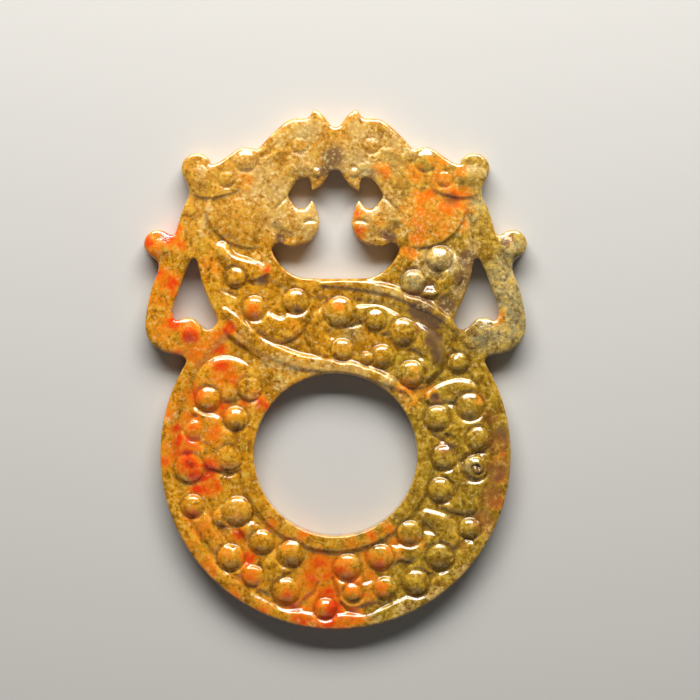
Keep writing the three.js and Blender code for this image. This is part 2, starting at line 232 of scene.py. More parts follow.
SPIRAL_X, SPIRAL_Y = 41, -28.5
SPIRAL_DEPTH = 0.24
CARVED_FROM = 3.6              # below this height the walls stay as sawn
CARVED_FULLY = 6.0


def ease(value, low, high):
    """0 below low, 1 above high, and a smooth rise between."""
    t = np.clip((value - low) / (high - low), 0, 1)
    return t * t * (3 - 2 * t)


def through(stroke, per_point=5):
    """A smooth line through a stroke's points [x, y, half width]."""
    knots = np.array([stroke[0], *stroke, stroke[-1]], float)
    line = []
    for a, b, c, d in zip(knots, knots[1:], knots[2:], knots[3:]):
        for t in np.arange(per_point) / per_point:
            line.append(0.5 * (2 * b + (c - a) * t + (2 * a - 5 * b + 4 * c - d) * t**2
                               + (3 * b - a - 3 * c + d) * t**3))
    return np.array(line + [knots[-1]])


def inside(x, y, stroke, reach):
    """How far inside a stroke's edge each point lies, negative outside; -reach where it is further."""
    line = through(stroke)
    found = np.full(len(x), -reach)
    margin = line[:, 2].max() + reach
    near = np.flatnonzero(
        (x > line[:, 0].min() - margin) & (x < line[:, 0].max() + margin)
        & (y > line[:, 1].min() - margin) & (y < line[:, 1].max() + margin))
    px, py = x[near], y[near]
    best = np.full(len(near), -reach)
    for (ax, ay, ar), (bx, by, br) in zip(line, line[1:]):
        dx, dy = bx - ax, by - ay
        t = np.clip(((px - ax) * dx + (py - ay) * dy) / max(dx * dx + dy * dy, 1e-9), 0, 1)
        best = np.maximum(best, ar + t * (br - ar) - np.hypot(px - ax - t * dx, py - ay - t * dy))
    found[near] = best
    return found


# strokes are points [x, y, half width], grains and beads [x, y, radius], swells [x, y, radius, rise]
RING_CLOUDS = [
    [[-38, -8.5, 3.2], [-37, -3, 3.8], [-32.5, 0, 4.1], [-27.5, -1.5, 3.8], [-25, -5.5, 3.2]],
    [[-40.5, -12, 1.2], [-37.5, -13.5, 1.4], [-34.5, -15, 1.7]],
    [[-39.5, -17, 3.5], [-34, -20, 4.1], [-31, -25.5, 4.2]],
    [[-41, -18, 3.2], [-43, -22.5, 3.2], [-42.5, -28.5, 4.6]],
    [[-39.5, -24.5, 3.5], [-34.5, -26.5, 2.9]],
    [[-41.5, -39.5, 3.2], [-38.5, -46.5, 3.8], [-34.5, -53, 4.3], [-28.5, -59.5, 4.3],
     [-23.5, -61, 3.8]],
    [[-33, -43, 2.6], [-28.5, -41, 4.3]],
    [[-25.5, -46, 2.3], [-21.5, -50, 3.6]],
    [[-12.5, -53.5, 4.1], [-17.5, -57.5, 3.8], [-18.5, -62.5, 4.1], [-14.5, -64.5, 4.6]],
    [[3.5, -57.5, 4.1], [4, -63.5, 4.1], [7.5, -66.5, 4.3], [14.5, -64, 3.8]],
    [[13, -54.5, 3.9], [18, -53.5, 2.3]],
    [[26.5, -42.5, 2], [31.5, -45.5, 3.2], [33.5, -51, 4.1], [30.5, -54.5, 4.3]],
    [[29.5, -55.5, 4.1], [25.5, -57.5, 3.5], [23.5, -61.5, 4.1]],
    [[21.5, -47.5, 3.8], [25.5, -50.5, 2.6]],
    [[30.5, -35, 3.9], [34.5, -38, 3.6], [40, -37.5, 4.1], [42, -32, 3.5], [40.5, -28, 3.5]],
    [[28, -8, 2], [32.5, -6.5, 3.2], [37.5, -6.5, 3.8], [40, -10.5, 3.9], [39.5, -16, 4.3],
     [38, -21, 4.1]],
    [[29.5, -14, 3.8], [33, -16.5, 2.3]],
    [[31.5, -25.5, 3.8], [35.5, -22.5, 3.8]],
    [[-33, -6, 3.2], [-30.5, -6, 3.2]],
    [[32, -13, 3.2], [35.5, -15.5, 4.2], [38, -19.5, 4.4]],
    [[33, -28.5, 2.8], [37, -32, 4.2], [38, -35, 4.5]],
    [[21.5, -52.5, 3.6], [26.5, -51, 4]],
]
STRAND_CLOUDS = [
    [[-11.5, 20, 3.8], [-11, 15, 3.5], [-15.5, 11.5, 3.8], [-21, 14, 3.5], [-23.5, 18, 3.5]],
    [[2, 17, 4.6], [-3, 15, 3.2], [-5.5, 11, 3.2], [-3, 6.5, 3.2], [2, 6, 3.2]],
    [[7.5, 17, 2], [12, 15, 3.8], [16.5, 13.5, 3.2]],
    [[13.5, 4, 3.5], [9, 3.5, 2.3]],
    [[19.5, 11, 4.1], [24.5, 9, 3.8], [28.5, 5.5, 3.5], [27.5, 1, 3.2], [22, -1, 3.8]],
]
NECK_CLOUDS = [
    [[-32.8, 35.5, 1.8], [-30.5, 31.8, 2.4], [-26.5, 30, 2.7], [-22.5, 28, 3.3]],
    [[30, 32.5, 3.6], [34, 29, 3.2], [32, 24.5, 2.6], [27.5, 22.5, 2], [22.5, 25.5, 3.6]],
]
RING_GRAINS = [
    [-37, -8.5, 3.5], [-29, -14, 3.4], [-28.5, -41, 4.1], [-41.5, -39.5, 3.2], [-21.5, -50, 3.3],
    [-30.5, -54.5, 3.8], [-13, -53.5, 3.8], [-14.5, -64.5, 3.8], [-3, -69.5, 3], [3.5, -57.5, 3.8],
    [5, -65, 2.6], [13, -54.5, 3.6], [14.5, -63.5, 3.2], [21.5, -47.5, 3.5], [23.5, -62, 3.8],
    [30.5, -54.5, 3.8], [39, -46, 3], [30.5, -35, 3.5], [40.5, -28.5, 3.5], [31.5, -25.5, 3.5],
    [41.5, -20, 3.5], [29.5, -14, 3.5], [39, -10.5, 3.8], [35.5, 2, 2.9],
]
WORN_GRAINS = [
    [-25, -5.5, 3.3], [-41, -17.5, 2.7], [-31, -25.5, 3.5], [-42.5, -28.5, 4.1], [-24, -60, 2.9],
]
STRAND_GRAINS = [
    [-23.5, 18, 3.3], [-11.5, 20, 3.5], [1, 17, 4.3], [11.5, 14.5, 2.9], [19.5, 11, 3.8], [2, 6, 3],
    [13.5, 4, 3.2], [9, 3.5, 1.7], [22, -1, 3.6],
]
NECK_GRAINS = [[-29, 26.8, 2.9], [30, 32.5, 3.5], [22.5, 25.5, 3.5]]
NECK_LINE = [[-35.6, 50, 0.4], [-37.6, 45.5, 0.6], [-38.8, 40, 0.6], [-38.4, 35, 0.5], [-37, 30, 0.3]]
LOWER_RIDGE = [[-32, 17.5, 0.7], [-27, 13, 1], [-22, 8, 1.2], [-16, 5, 1.3], [-10.5, 3, 1.3],
               [-3.5, 2, 1.2], [4.5, 1, 1.1], [12.5, -1.5, 1], [19.5, -5, 0.6]]
UPPER_RIDGE = [[-4, 25.5, 0.6], [4.5, 25.3, 1], [15, 23.7, 1.1], [23.5, 20.3, 1.1], [29.5, 17, 1],
               [35, 12.5, 0.9], [39, 7.5, 0.7]]
FILLET_EDGE = [[-34.5, 15.5], [-30.5, 10], [-24.5, 5.5], [-19, 1.5], [-10.5, -1.5]]
CRESCENT_BORDER = [[-25, 34], [-20, 27.5], [-14, 23.5], [-7, 21.3], [4.5, 21], [15, 19.3], [23.5, 16.3],
                   [29.5, 13], [35, 8.5]]
NECK_POCKETS = [
    [[-31.5, 37, 2.2], [-29.5, 31, 5.2], [-27, 25, 6.0], [-22, 19, 6.0]],
    [[35, 37, 2], [32, 31, 5], [28, 26, 5.2], [22.5, 26, 3.6]],
]
HEAD_BEADS = [[26, 60.5, 3.0], [31.5, 55.4, 2.3], [10.4, 65.1, 2.3], [5.4, 57.2, 1.5]]
HEAD_SWELLS = [[26, 44.5, 9.5, 0.5], [12, 61, 6, 0.3], [9.3, 43, 5.5, 0.6], [38.9, 55.8, 5.2, 0.9],
               [20, 55, 6, 0.2], [50.6, 35.4, 4.4, 0.9], [42.2, 11, 4.2, 0.9], [33, 51.5, 4, 0.3]]
HEAD_STEPS = [
    [[27.5, 53.6], [29.5, 51.8], [33, 50.6], [36.3, 50.1], [39.5, 50.4], [42.5, 52]],
    [[20.5, 36.4], [24, 35.6], [27.9, 36], [32.3, 38.2], [35.6, 41.5], [37.2, 45.5], [36.8, 48.5]],
]
HEAD_LIPS = [
    [[4.8, 56.5, 0.9], [8, 59, 1.3], [12, 58.6, 1.4], [15.8, 55.8, 1.2], [18, 51.5, 1.1],
     [17.6, 47.5, 0.7]],
    [[13.5, 63.5, 0.5], [17, 63, 0.9], [21, 60, 0.9], [23.5, 56.5, 0.5]],
]
HEAD_GROOVES = [
    [[14.6, 49.8, 0.3], [17.25, 47, 0.1]],
    [[5.9, 43.2, 0.2], [7.4, 43.4, 0.4], [9, 42.8, 0.2]],
]
FINE_GROOVES = [
    [[-34.6, -29.4, 0.3], [-31.2, -30.6, 0.6], [-27.8, -29.2, 0.3]],
    [[38.2, 46.3, 0.1], [39.7, 39.9, 0.3], [39.7, 36, 0.3], [40.4, 33, 0.1]],
    [[27.6, -18.3, 0.3], [32, -21.1, 0.5]],
    [[36.9, -26.2, 0.3], [38.4, -24.6, 0.6], [41, -24.1, 0.6], [43.6, -24, 0.3]],
    [[36.9, -48.4, 0.2], [40.1, -50.1, 0.4]],
    [[-18.2, -67.5, 0.3], [-16.2, -69.2, 0.5], [-13.3, -69.8, 0.6], [-10.4, -69, 0.6],
     [-8.3, -66.6, 0.6], [-6.3, -64.9, 0.5], [-5.1, -62, 0.3]],
    [[-0.8, -60.5, 0.3], [0.9, -65.8, 0.5]],
    [[1.8, -68.1, 0.4], [4.1, -70.4, 0.5], [7.6, -71, 0.6], [11.4, -70.1, 0.5], [16, -67.8, 0.3]],
    [[-24, 25.3, 0.5], [-21.5, 26, 0.8], [-19.6, 27.3, 0.5]],
    [[-33, 23.3, 0.2], [-28.9, 21.5, 0.4]],
    [[-1.4, 14, 0.3], [4.1, 12.8, 0.5], [8.8, 14, 0.3]],
    [[20.1, 22.9, 0.3], [27.6, 20.7, 0.6], [32, 23.9, 0.3]],
]
HOLLOWS = [
    [[17.3, 41.2, 1.2], [15.8, 39.2, 1.7], [13.4, 38.6, 1.2]],
    [[-17.3, 41.2, 1.2], [-15.8, 39.2, 1.7], [-13.4, 38.6, 1.2]],
    [[28.5, -7.5, 0.9], [29.5, -8.2, 0.9]],
    [[26.6, 24.5, 1.2], [28.2, 24, 1.2]],
]


def beside(x, y, line, reach):
    """How far each point lies from a line, negative on its right, and how far along it from 0 to 1."""
    path = through([[lx, ly, 0] for lx, ly in line])
    low, high = path.min(axis=0) - reach, path.max(axis=0) + reach
    near = np.flatnonzero((x > low[0]) & (x < high[0]) & (y > low[1]) & (y < high[1]))
    gap, side, along = np.full(len(near), float(reach)), np.ones(len(near)), np.zeros(len(near))
    for step, ((ax, ay, _), (bx, by, _)) in enumerate(zip(path, path[1:])):
        dx, dy = bx - ax, by - ay
        from_x, from_y = x[near] - ax, y[near] - ay
        t = np.clip((from_x * dx + from_y * dy) / max(dx * dx + dy * dy, 1e-9), 0, 1)
        distance = np.hypot(from_x - t * dx, from_y - t * dy)
        closer = distance < gap
        gap = np.where(closer, distance, gap)
        side = np.where(closer, np.where(dx * from_y - dy * from_x < 0, -1.0, 1.0), side)
        along = np.where(closer, (step + t) / (len(path) - 1), along)
    return near, gap * side, along


def step_down(face, x, y, line, depth, reach):
    """A face that drops along the right-hand side of a line and comes back slowly within a reach."""
    near, gap, along = beside(x, y, line, reach)
    drop = ease(-gap, -0.3, 0.6) * (1 - ease(-gap, 0.8, reach))
    face = face.copy()
    face[near] -= depth * drop * ease(along, 0, 0.2) * (1 - ease(along, 0.8, 1))
    return face


def both_sides(strokes):
    """The strokes of the right dragon, and the same ones mirrored for the left."""
    return strokes + [[[-p[0], *p[1:]] for p in stroke] for stroke in strokes]


def height_of_line(x, line):
    """The height y of a line that runs from left to right, at each x."""
    smooth = through([[point[0], point[1], 0] for point in line])
    return np.interp(x, smooth[:, 0], smooth[:, 1])


def pad_on(face, x, y, stroke, ground):
    """A face with a cloud on it: a pad that rises steeply and is round-shouldered on top."""
    depth = inside(x, y, stroke, 1.0)
    crown = 0.3 * ease(depth, -0.35, 0.3) + 0.7 * np.sin(np.pi / 2 * np.clip(depth / 1.9, 0, 1))
    return np.maximum(face, face + (ground + CLOUD_RISE - face) * crown)


def grain_on(face, x, y, grain, ground, moat_depth, rise):
    """A face with a round grain on it. Its moat is cut into a cloud, and is deepest below the grain."""
    gx, gy, radius = grain
    away = np.hypot(x - gx, y - gy)
    near = np.flatnonzero(away < radius + 2.2)
    r = away[near]
    below = 0.5 - 0.5 * (y[near] - gy) / np.maximum(r, 0.1)
    in_cloud = 0.15 + 0.85 * ease(face[near] - ground, 0.1, 0.7)
    depth = moat_depth * (0.65 + 0.35 * below)
    moat = depth * in_cloud * np.exp(-((r - radius - 0.35) / 0.55) ** 2)
    foot = np.minimum(face[near], ground + CLOUD_RISE - depth)
    peak = ground + GRAIN_SEAT + rise * radius
    dome = foot + (peak - foot) * (1 - (r / (radius + 0.15)) ** 2.3)
    out = face.copy()
    out[near] = np.where(r < radius, dome, face[near] - moat)
    return out


def bead_on(face, x, y, gx, gy, radius):
    """A face with a low bead on it, parted from it by a shallow groove."""
    away = np.hypot(x - gx, y - gy)
    near = np.flatnonzero(away < radius + 2)
    r = away[near]
    below = 0.5 - 0.5 * (y[near] - gy) / np.maximum(r, 0.1)
    out = face.copy()
    out[near] += 0.2 * radius * np.clip(1 - (r / radius) ** 2, 0, 1) - 0.1
    out[near] += 0.1 * ease(r, radius, radius + 2)
    out[near] -= 0.22 * (0.25 + 0.75 * below) * np.exp(-((r - radius - 0.1) / 0.5) ** 2)
    return out


def sunk_ground(x, y):
    """The face once the ground is cut back on the ring and the necks, the left one over the right."""
    # the ring's ground between its two rims, with a softer wall on the left, and fading out
    # towards the place above the hole where the necks meet the ring
    from_ring = np.hypot(x + RIM_SHIFT, y - RING_Y)
    from_hole = np.hypot(x, y - RING_Y)
    soft = 0.6 + 0.8 * ease(-x, 0, 30)
    pocket = ease((RING_RADIUS - OUTER_RIM - from_ring) / soft, -1, 1.2)
    pocket = pocket * ease(from_hole - HOLE_RADIUS - INNER_RIM, -0.9, 1)
    pocket = pocket * ease(np.hypot(x + 12, y + 2), 4, 20)
    face = PLATE_TOP - (PLATE_TOP - RING_GROUND) * pocket
    for neck in NECK_POCKETS:
        face = face - (PLATE_TOP - STRAND_GROUND) * ease(inside(x, y, neck, 1.5), -0.8, 0.8)

    # the left neck passes over, between its two ridges, as far as the ring's right side
    lower = height_of_line(x, LOWER_RIDGE)
    upper = height_of_line(x, UPPER_RIDGE)
    under_ridge = ease(upper + 40 * ease(-x, 3, 5) - y, -0.3, 0.3)
    over = ease(y - lower, -0.3, 0.3) * under_ridge * ease(x, -29, -24)
    over = over * (1 - ease((x - 28.5) * 0.83 - (y + 1) * 0.55, -1.0, 1.0))
    border = ease(y - height_of_line(x, CRESCENT_BORDER), -0.7, 0.7)
    face = face + (STRAND_GROUND + 0.35 * border - face) * over

    # a raised border below its lower ridge, and a hollow above the upper one
    fillet = ease(lower - y, -0.3, 0.3) * ease(y - height_of_line(x, FILLET_EDGE), -1.2, 0.9)
    fillet = fillet * ease(x, -34, -30) * ease(-x, 9, 16)
    face = face + (FILLET_TOP - face) * fillet
    past_ridge = y - upper
    ridge_part = ease(past_ridge, 0.2, 0.9) * (1 - ease(past_ridge, 3, 7))
    return face - 0.45 * ridge_part * ease(x, 8, 18) * (1 - ease(x, 33, 37))


def carved_height(x, y):
    """The carved face's height at each point, in mm."""
    face = sunk_ground(x, y)
    for cloud in RING_CLOUDS:
        face = pad_on(face, x, y, cloud, RING_GROUND)
    for cloud in STRAND_CLOUDS + NECK_CLOUDS:
        face = pad_on(face, x, y, cloud, STRAND_GROUND)

    # the cut that follows the foot of the ring's outer rim
    from_ring = np.hypot(x + RIM_SHIFT, y - RING_Y)
    rim_foot = (RING_RADIUS - OUTER_RIM - 1.0 - from_ring) / 1.15
    face = face - (face - RING_GROUND) * 0.8 * np.exp(-rim_foot**2) * ease(-y, 8, 22)
    face = face + NECK_LINE_RISE * ease(inside(x, y, NECK_LINE, 1.0), -0.6, 0.5)
    for ridge, spread in ((LOWER_RIDGE, 1.9), (UPPER_RIDGE, 1.5)):
        depth = inside(x, y, [[rx, ry - 0.4, spread * width] for rx, ry, width in ridge], 1.5)
        rise = np.maximum(RIDGE_TOP + 0.15 - face, 0)
        face = face + rise * ease(depth, -0.5, 0.2 + 0.5 * spread)
    for groove in FINE_GROOVES:
        face = face - FINE_GROOVE * ease(inside(x, y, groove, 1.2), -0.6, 0.5)
    for grain in RING_GRAINS:
        face = grain_on(face, x, y, grain, RING_GROUND, GRAIN_MOAT, GRAIN_RISE)
    for grain in STRAND_GRAINS + NECK_GRAINS:
        face = grain_on(face, x, y, grain, STRAND_GROUND, GRAIN_MOAT, GRAIN_RISE)
    for grain in WORN_GRAINS:
        face = grain_on(face, x, y, grain, RING_GROUND, WORN_MOAT, WORN_RISE)

    # the two heads, which are alike
    for side in (-1, 1):
        for mx, my, radius, rise in HEAD_SWELLS:
            away = np.hypot(x - side * mx, y - my) / radius
            face = face + rise * (1 - ease(away, 0, 1))
        for line in HEAD_STEPS:
            face = step_down(face, side * x, y, line, STEP_DEPTH, STEP_REACH)
        for lip in HEAD_LIPS:
            face = face + LIP_RISE * ease(inside(side * x, y, lip, 1.0), -0.6, 1.1)
        for gx, gy, radius in HEAD_BEADS:
            face = bead_on(face, x, y, side * gx, gy, radius)
    for groove in both_sides(HEAD_GROOVES):
        face = face - HEAD_GROOVE * ease(inside(x, y, groove, 1.2), -0.7, 0.4)
    for hollow in HOLLOWS:
        face = face - HOLLOW_DEPTH * ease(inside(x, y, hollow, 1.5), -1.0, 1.2)
    for turn in np.linspace(0, 2.6 * np.pi, 40):
        spiral_x = SPIRAL_X + (0.5 + 0.28 * turn) * math.cos(turn)
        spiral_y = SPIRAL_Y + (0.5 + 0.28 * turn) * math.sin(turn)
        face = face - SPIRAL_DEPTH * np.exp(-((x - spiral_x) ** 2 + (y - spiral_y) ** 2) / 0.16)

    # the slight unevenness that hand polishing leaves
    return face + 0.05 * np.sin(x / 1.9 + 1.2 * np.sin(y / 2.9)) * np.sin(y / 2.3 + np.sin(x / 3.4))


places = points_of(disc)
on_face = ease(places[:, 2], CARVED_FROM, CARVED_FULLY)
face_points = np.flatnonzero(on_face > 0)
change = carved_height(places[face_points, 0], places[face_points, 1]) - PLATE_TOP
places[face_points, 2] += change * on_face[face_points]
put_points(disc, places)
polished = name_points(disc, "polished", places[:, 2] > CARVED_FROM)
finish_with(disc, "SMOOTH", factor=0.5, iterations=3, vertex_group=polished)
disc.vertex_groups.clear()
TRIANGLES = 196000
finish_with(disc, "DECIMATE", ratio=TRIANGLES / (2 * len(disc.data.polygons)))
bpy.ops.object.shade_smooth()


# ---- The jade ---------------------------------------------------------------------------------
# Old nephrite: honey yellow on the left, olive on the right and grey-green in the right arm. It has
# orange and red iron stains, rust and brown patches, fine pale crystals, a paler skin where it is
# weathered or worn, and old dirt in its hollows. Its hollows also carry painted shade, its crests
# painted light, and a few lobes and a neck ridge painted highlights. It is polished all over.

# stained places on the face, each [x, y, radius, strength] in mm
IRON_PLACES = [
    # the left ear and arm
    [-54.5, 37.5, 3.5, 1.0], [-53, 35, 5, 0.6], [-44.5, 36.5, 2.5, 0.95], [-48, 39.5, 5, 1.0],
    [-51, 28, 3, 0.72], [-47.5, 25, 4, 0.85], [-52, 20, 6, 0.42], [-47, 14, 3, 0.9],
    [-50, 10, 6, 0.4], [-42, 10, 3.5, 1.0], [-40, 6, 5, 0.65], [-36, 7.5, 5, 0.6],
    [-45, 5, 4, 0.6], [-36, 30, 4, 0.5],
    # the left head and the necks
    [-27, 9, 2, 0.5], [-33, 6, 2.5, 0.9], [-32, 1, 4, 0.85], [-28, 43, 4, 0.35],
    [-24, 41, 3, 0.35], [-20, 29, 2, 0.8], [-24, 17.5, 3, 0.8], [-12, 12.5, 3, 0.6],
    [-31, 12, 3, 0.8], [-26, 55, 4, 0.5],
    # the right head, neck and arm
    [30, 60, 5, 0.52], [24, 57, 4.5, 0.66], [47, 15, 3, 0.5], [27, 44.5, 8, 0.72],
    [30, 41, 4, 0.74], [32, 47, 5, 0.76], [35, 43, 4, 0.66], [24, 49, 4, 0.66],
    [23.5, 38.5, 3, 0.85], [20, 47, 4, 0.5], [28, 50.5, 4, 0.8], [34, 50, 5, 0.75],
    [36.5, 52, 3, 0.55], [24, 51, 3, 0.6], [31, 54.5, 6, 0.62], [14, 57.5, 3, 0.8],
    [36, 57, 3, 0.6], [36, 46, 4, 0.6], [9, 65, 3, 0.4], [6.5, 45.5, 2.5, 0.85],
    [7, 40, 3.5, 0.75], [12, 43, 3, 0.5], [21, 34, 3.5, 0.7], [1, 19, 3, 0.5],
    # the left side of the ring
    [-45.2, -20, 1.9, 1.05], [-45.5, -17, 1.5, 1.0], [-43, -24, 2, 1.05], [-42, -27.5, 2.5, 1.15],
    [-36.5, -27.8, 3, 1.1], [-38, -31, 2.5, 1.05], [-39.4, -34.7, 2, 1.05], [-34.7, -33.6, 2, 1.0],
    [-20, -10.5, 2, 1.0], [-26.6, -9.2, 2, 0.9], [-31, -2, 6, 0.6], [-33, -11.5, 3.5, 0.75],
    [-22, -9.5, 3, 0.9], [-24, -7.5, 4, 0.6], [-50, -12, 4, 0.65], [-46.5, -17, 2, 0.9],
    [-45.5, -21, 2.5, 0.95], [-41, -15, 5, 0.62], [-42, -20.5, 4, 0.75], [-36, -19, 4, 0.66],
    [-40, -7, 5, 0.62], [-45, -9, 4, 0.42], [-35, -12, 5, 0.55], [-40, -30.5, 3, 1.0],
    [-35, -29, 4, 0.7], [-31, -45, 4, 0.5], [-25, -60, 4, 0.6], [-43, -27, 3.5, 1.05],
    [-41.5, -30, 2, 1.2], [-36.5, -30, 3.5, 1.0], [-37, -34, 3.5, 0.9], [-40.5, -35, 2.5, 0.8],
    [-49.5, -26, 3, 0.7], [-42, -42, 3, 0.6], [-38, -45, 5, 0.42], [-28, -48, 3, 0.85],
    [-25, -54.5, 3, 0.9], [-33, -53, 4, 0.4], [-45, -51, 4, 0.42], [-38, -58, 4, 0.65],
    [-30, -66, 4, 0.65], [-22, -70, 4, 0.65], [-19, -45, 3, 0.7], [-37, -29.5, 4, 0.85],
    [-45.5, -23, 4, 0.7],
    # the right side of the ring
    [23, -50, 4, 0.5], [21, -5, 5, 0.6], [22, -9, 5, 0.45], [26, -6, 4, 0.55],
    [47.5, -31, 2.5, 0.9], [47, -38.5, 2.5, 1.0], [48.5, -24, 1.5, 0.85], [46.5, -26, 2.5, 0.55],
    [41, -8, 3, 0.5],
    # the ring above and below the hole
    [-15, -50, 4, 0.5], [-14, -65.5, 3, 0.95], [-12, -69, 3.5, 0.85], [-9.5, -47.5, 2.5, 0.9],
    [-3, -60, 3, 0.9], [-1, -65, 4.5, 0.8], [-0.5, -70, 4.5, 1.1], [-4, -74, 5, 0.95],
    [-5, -55.5, 5, 0.85], [0, -58.5, 5, 0.95], [5, -61, 5, 0.8], [-3, -65, 4, 0.8],
    [-8, -66, 3, 0.75], [-2, -73, 4, 1.05], [-9, -73, 3, 0.95], [10, -60, 5, 0.6],
    [17, -51, 5, 0.64], [4, -50, 3.5, 0.66], [-10, -71, 4, 0.95], [5, -71.5, 4, 0.85],
    [10, -66, 4, 0.6], [2, -76, 4, 0.85], [-7, -61, 5, 0.8], [-6, -69, 5, 0.72],
    [10, -55, 4, 0.62], [4, -56, 4, 0.6], [3, -64, 4, 0.6], [12.5, -56.5, 3, 0.9],
    [13, -64, 3, 0.8], [10.5, -48.5, 2.5, 0.95], [15, -46, 3, 0.6],
]
RUST_PLACES = [
    [-43, 6, 4, 0.5], [-41, 1, 4, 0.45], [-20.5, 26.5, 2.5, 0.9], [-16, 38, 2.5, 0.6],
    [38, 47.5, 2.5, 0.5], [22, 22, 3, 0.7], [25, 20, 3, 0.9], [24, 12.5, 2.5, 0.7],
    [27, 8, 3, 0.6], [15.5, 38.5, 2.5, 0.9], [33, 49.5, 3, 0.8], [50, 38, 2, 0.9],
    [36, 33, 3, 0.5], [8, 61, 3, 0.4], [-28, -7, 4, 0.45], [-22, -10, 3, 0.5],
    [-33, -45.5, 3, 0.6], [45, -14, 4, 0.7], [47, -21, 4.5, 0.9], [47.5, -29, 4.5, 1.0],
    [46, -37, 4.5, 1.0], [43, -44, 4.5, 0.8], [37, -51, 3, 0.6], [31.5, -22.5, 2.5, 0.9],
    [29, -8.5, 2, 0.9],
]
BROWN_PLACES = [
    [-1, 62, 5, 0.8], [-3, 58, 4, 0.7], [-16, 38.5, 2, 0.9], [-21, 26, 2, 0.7], [-33, 52, 3, 0.4],
    [25, 17.5, 4, 1.1], [27.5, 13.5, 3, 1.1], [28.5, 9, 3, 1.1], [29.5, 5.5, 2.5, 1.1],
    [29.8, 3.5, 2, 1.2], [32, 19, 4, 0.8], [36, 12, 3, 0.6], [38.5, 32, 4, 0.85],
    [36.5, 26, 4, 0.8], [35, 21, 4, 0.6], [31, 8, 3, 0.5], [31, 1, 3, 0.4], [16, 38.5, 2.5, 0.9],
    [37, 27, 4, 0.7], [49, 37, 1.5, 0.9], [27, 24, 3, 0.8], [30, 15, 3, 0.7], [-30, -7, 4, 0.45],
    [41.5, -28.5, 2.5, 0.9], [37, -9, 4, 0.45], [48, -18, 4, 0.6], [46.5, -30, 5, 0.6],
    [44, -41, 4, 0.5], [28.5, -8, 1.5, 1.0], [33, -22, 2.5, 0.7], [33, -45, 3, 0.4],
]
GREY_GREEN_PLACES = [
    [-8, 69, 4, 0.5], [52, 33, 6, 0.8], [50, 24, 9, 1.0], [50, 14, 8, 1.0], [43, 10, 6, 0.7],
    [38.5, 44, 4, 0.5], [40.5, 49.5, 4, 0.8], [6, 61, 6, 0.5], [9, 58.5, 4, 0.6], [16, 60, 6, 0.4],
    [29, 30, 5, 0.6], [33, 31, 5, 0.6], [22.5, 26, 4, 0.8], [5, 11, 4, 0.5], [32, -55, 4, 0.4],
    [39, -28, 3, 0.6],
]
WEAR_AND_HIGHLIGHT_PLACES = [
    # the left ear and arm, all painted highlights: a line along the neck ridge,
    # and spots on the ear lobe and the leg curl
    [-36.5, 47, 1.1, 1.0], [-37.6, 44.5, 1.1, 1.1], [-38.4, 42, 1.1, 1.1], [-38.8, 39.5, 1.1, 1.0],
    [-38.7, 57.5, 1.7, 0.9], [-50.4, 37, 1.5, 0.9],
    # the left head and the necks
    [-22, 55, 7, 0.62], [-13, 51, 6, 0.62], [-9, 60, 6, 0.55], [-8, 45, 6, 0.7],
    [-17, 43, 6, 0.62], [-20, 32, 5, 0.5], [-8, 69, 4, 0.6], [-7, 47, 4, 0.9], [-7, 41, 4, 0.8],
    [0, 61, 5, 0.8], [-20, 3, 3, 0.7], [-27, 10, 2.5, 0.9], [-16, 3, 3, 0.9], [-12, 1, 3, 0.9],
    [-6, 1, 3, 0.9], [-2, 0.5, 3, 1.0], [-6, 69.5, 3, 0.9], [-16, 66.5, 2.5, 0.7],
    [-11, 69, 2.5, 0.7], [-23, 57, 6, 0.7], [-17, 52, 5, 0.75], [-20, 57, 4, 0.6],
    [-24, 52, 5, 0.6], [-10, 41, 4, 0.6],
    # the right head, neck and arm
    [8, 68, 4, 0.6], [8, 57, 6, 0.55], [8, 44, 6, 0.7], [16, 48, 5, 0.6], [22, 41, 6, 0.45],
    [27, 31, 6, 0.7], [33, 33, 5, 0.6], [50, 25, 7, 0.5], [46, 12, 5, 0.5], [20, 45, 5, 0.5],
    [40, 36, 3, 0.8], [38.5, 30, 3, 0.9], [36, 23, 3, 0.9], [33, 18, 3, 0.7], [36, 42, 3, 0.5],
    [12, 40, 4, 0.6], [12, 23, 2.5, 0.9], [18, 22, 2.5, 0.9], [25, 19, 2, 0.8],
    # the first two here are painted highlights on the ear lobe and the leg curl
    [38.7, 57.5, 1.7, 0.9], [49.5, 37, 1.6, 0.9], [6, 69.5, 3, 0.9], [12, 67, 3, 0.7],
    [16.5, 66, 2.5, 0.8], [21.5, 63, 2.5, 0.6], [10, 56, 5, 0.6], [42, 57.5, 3, 0.6],
    [51, 35, 3, 0.5], [8, 42, 4, 0.5],
    # the left side of the ring
    [-28, -67, 3, 0.6], [-37, -60, 3, 0.6], [-30, -45, 3, 0.6], [-37, -30, 2, 0.6],
    [-47, -14, 3, 0.5], [-24, -9, 3, 0.6],
    # the right side of the ring
    [46, -48, 4, 0.6], [38, -59, 4, 0.8], [30, -66, 4, 0.9], [21, -71, 4, 0.9], [20, -8, 3, 0.7],
    [51, -22, 3, 0.5], [50, -35, 3, 0.5],
    # the ring above and below the hole
    [11, -73.5, 3, 0.7], [-12, -72.5, 3, 0.5], [3, 0, 3, 0.9], [7, -1, 3, 1.0], [14, -4, 3, 0.9],
    [-6, -74.5, 3, 0.6], [3, -75.5, 3, 0.6], [-16, -4, 4, 0.7],
]


def spread_of(patches, x, y):
    """How strongly each point is stained by patches [x, y, radius, strength] that fade outwards."""
    found = np.zeros(len(x))
    for sx, sy, radius, strength in patches:
        faded = np.exp(-((x - sx) ** 2 + (y - sy) ** 2) / (1.1 * radius**2))
        found = np.maximum(found, strength * faded)
    return found


def keep_on_points(piece, name, values):
    """The values as an attribute of the piece's points, for its material."""
    attribute = piece.data.attributes.new(name, "FLOAT", "POINT")
    attribute.data.foreach_set("value", values.astype(np.float32))


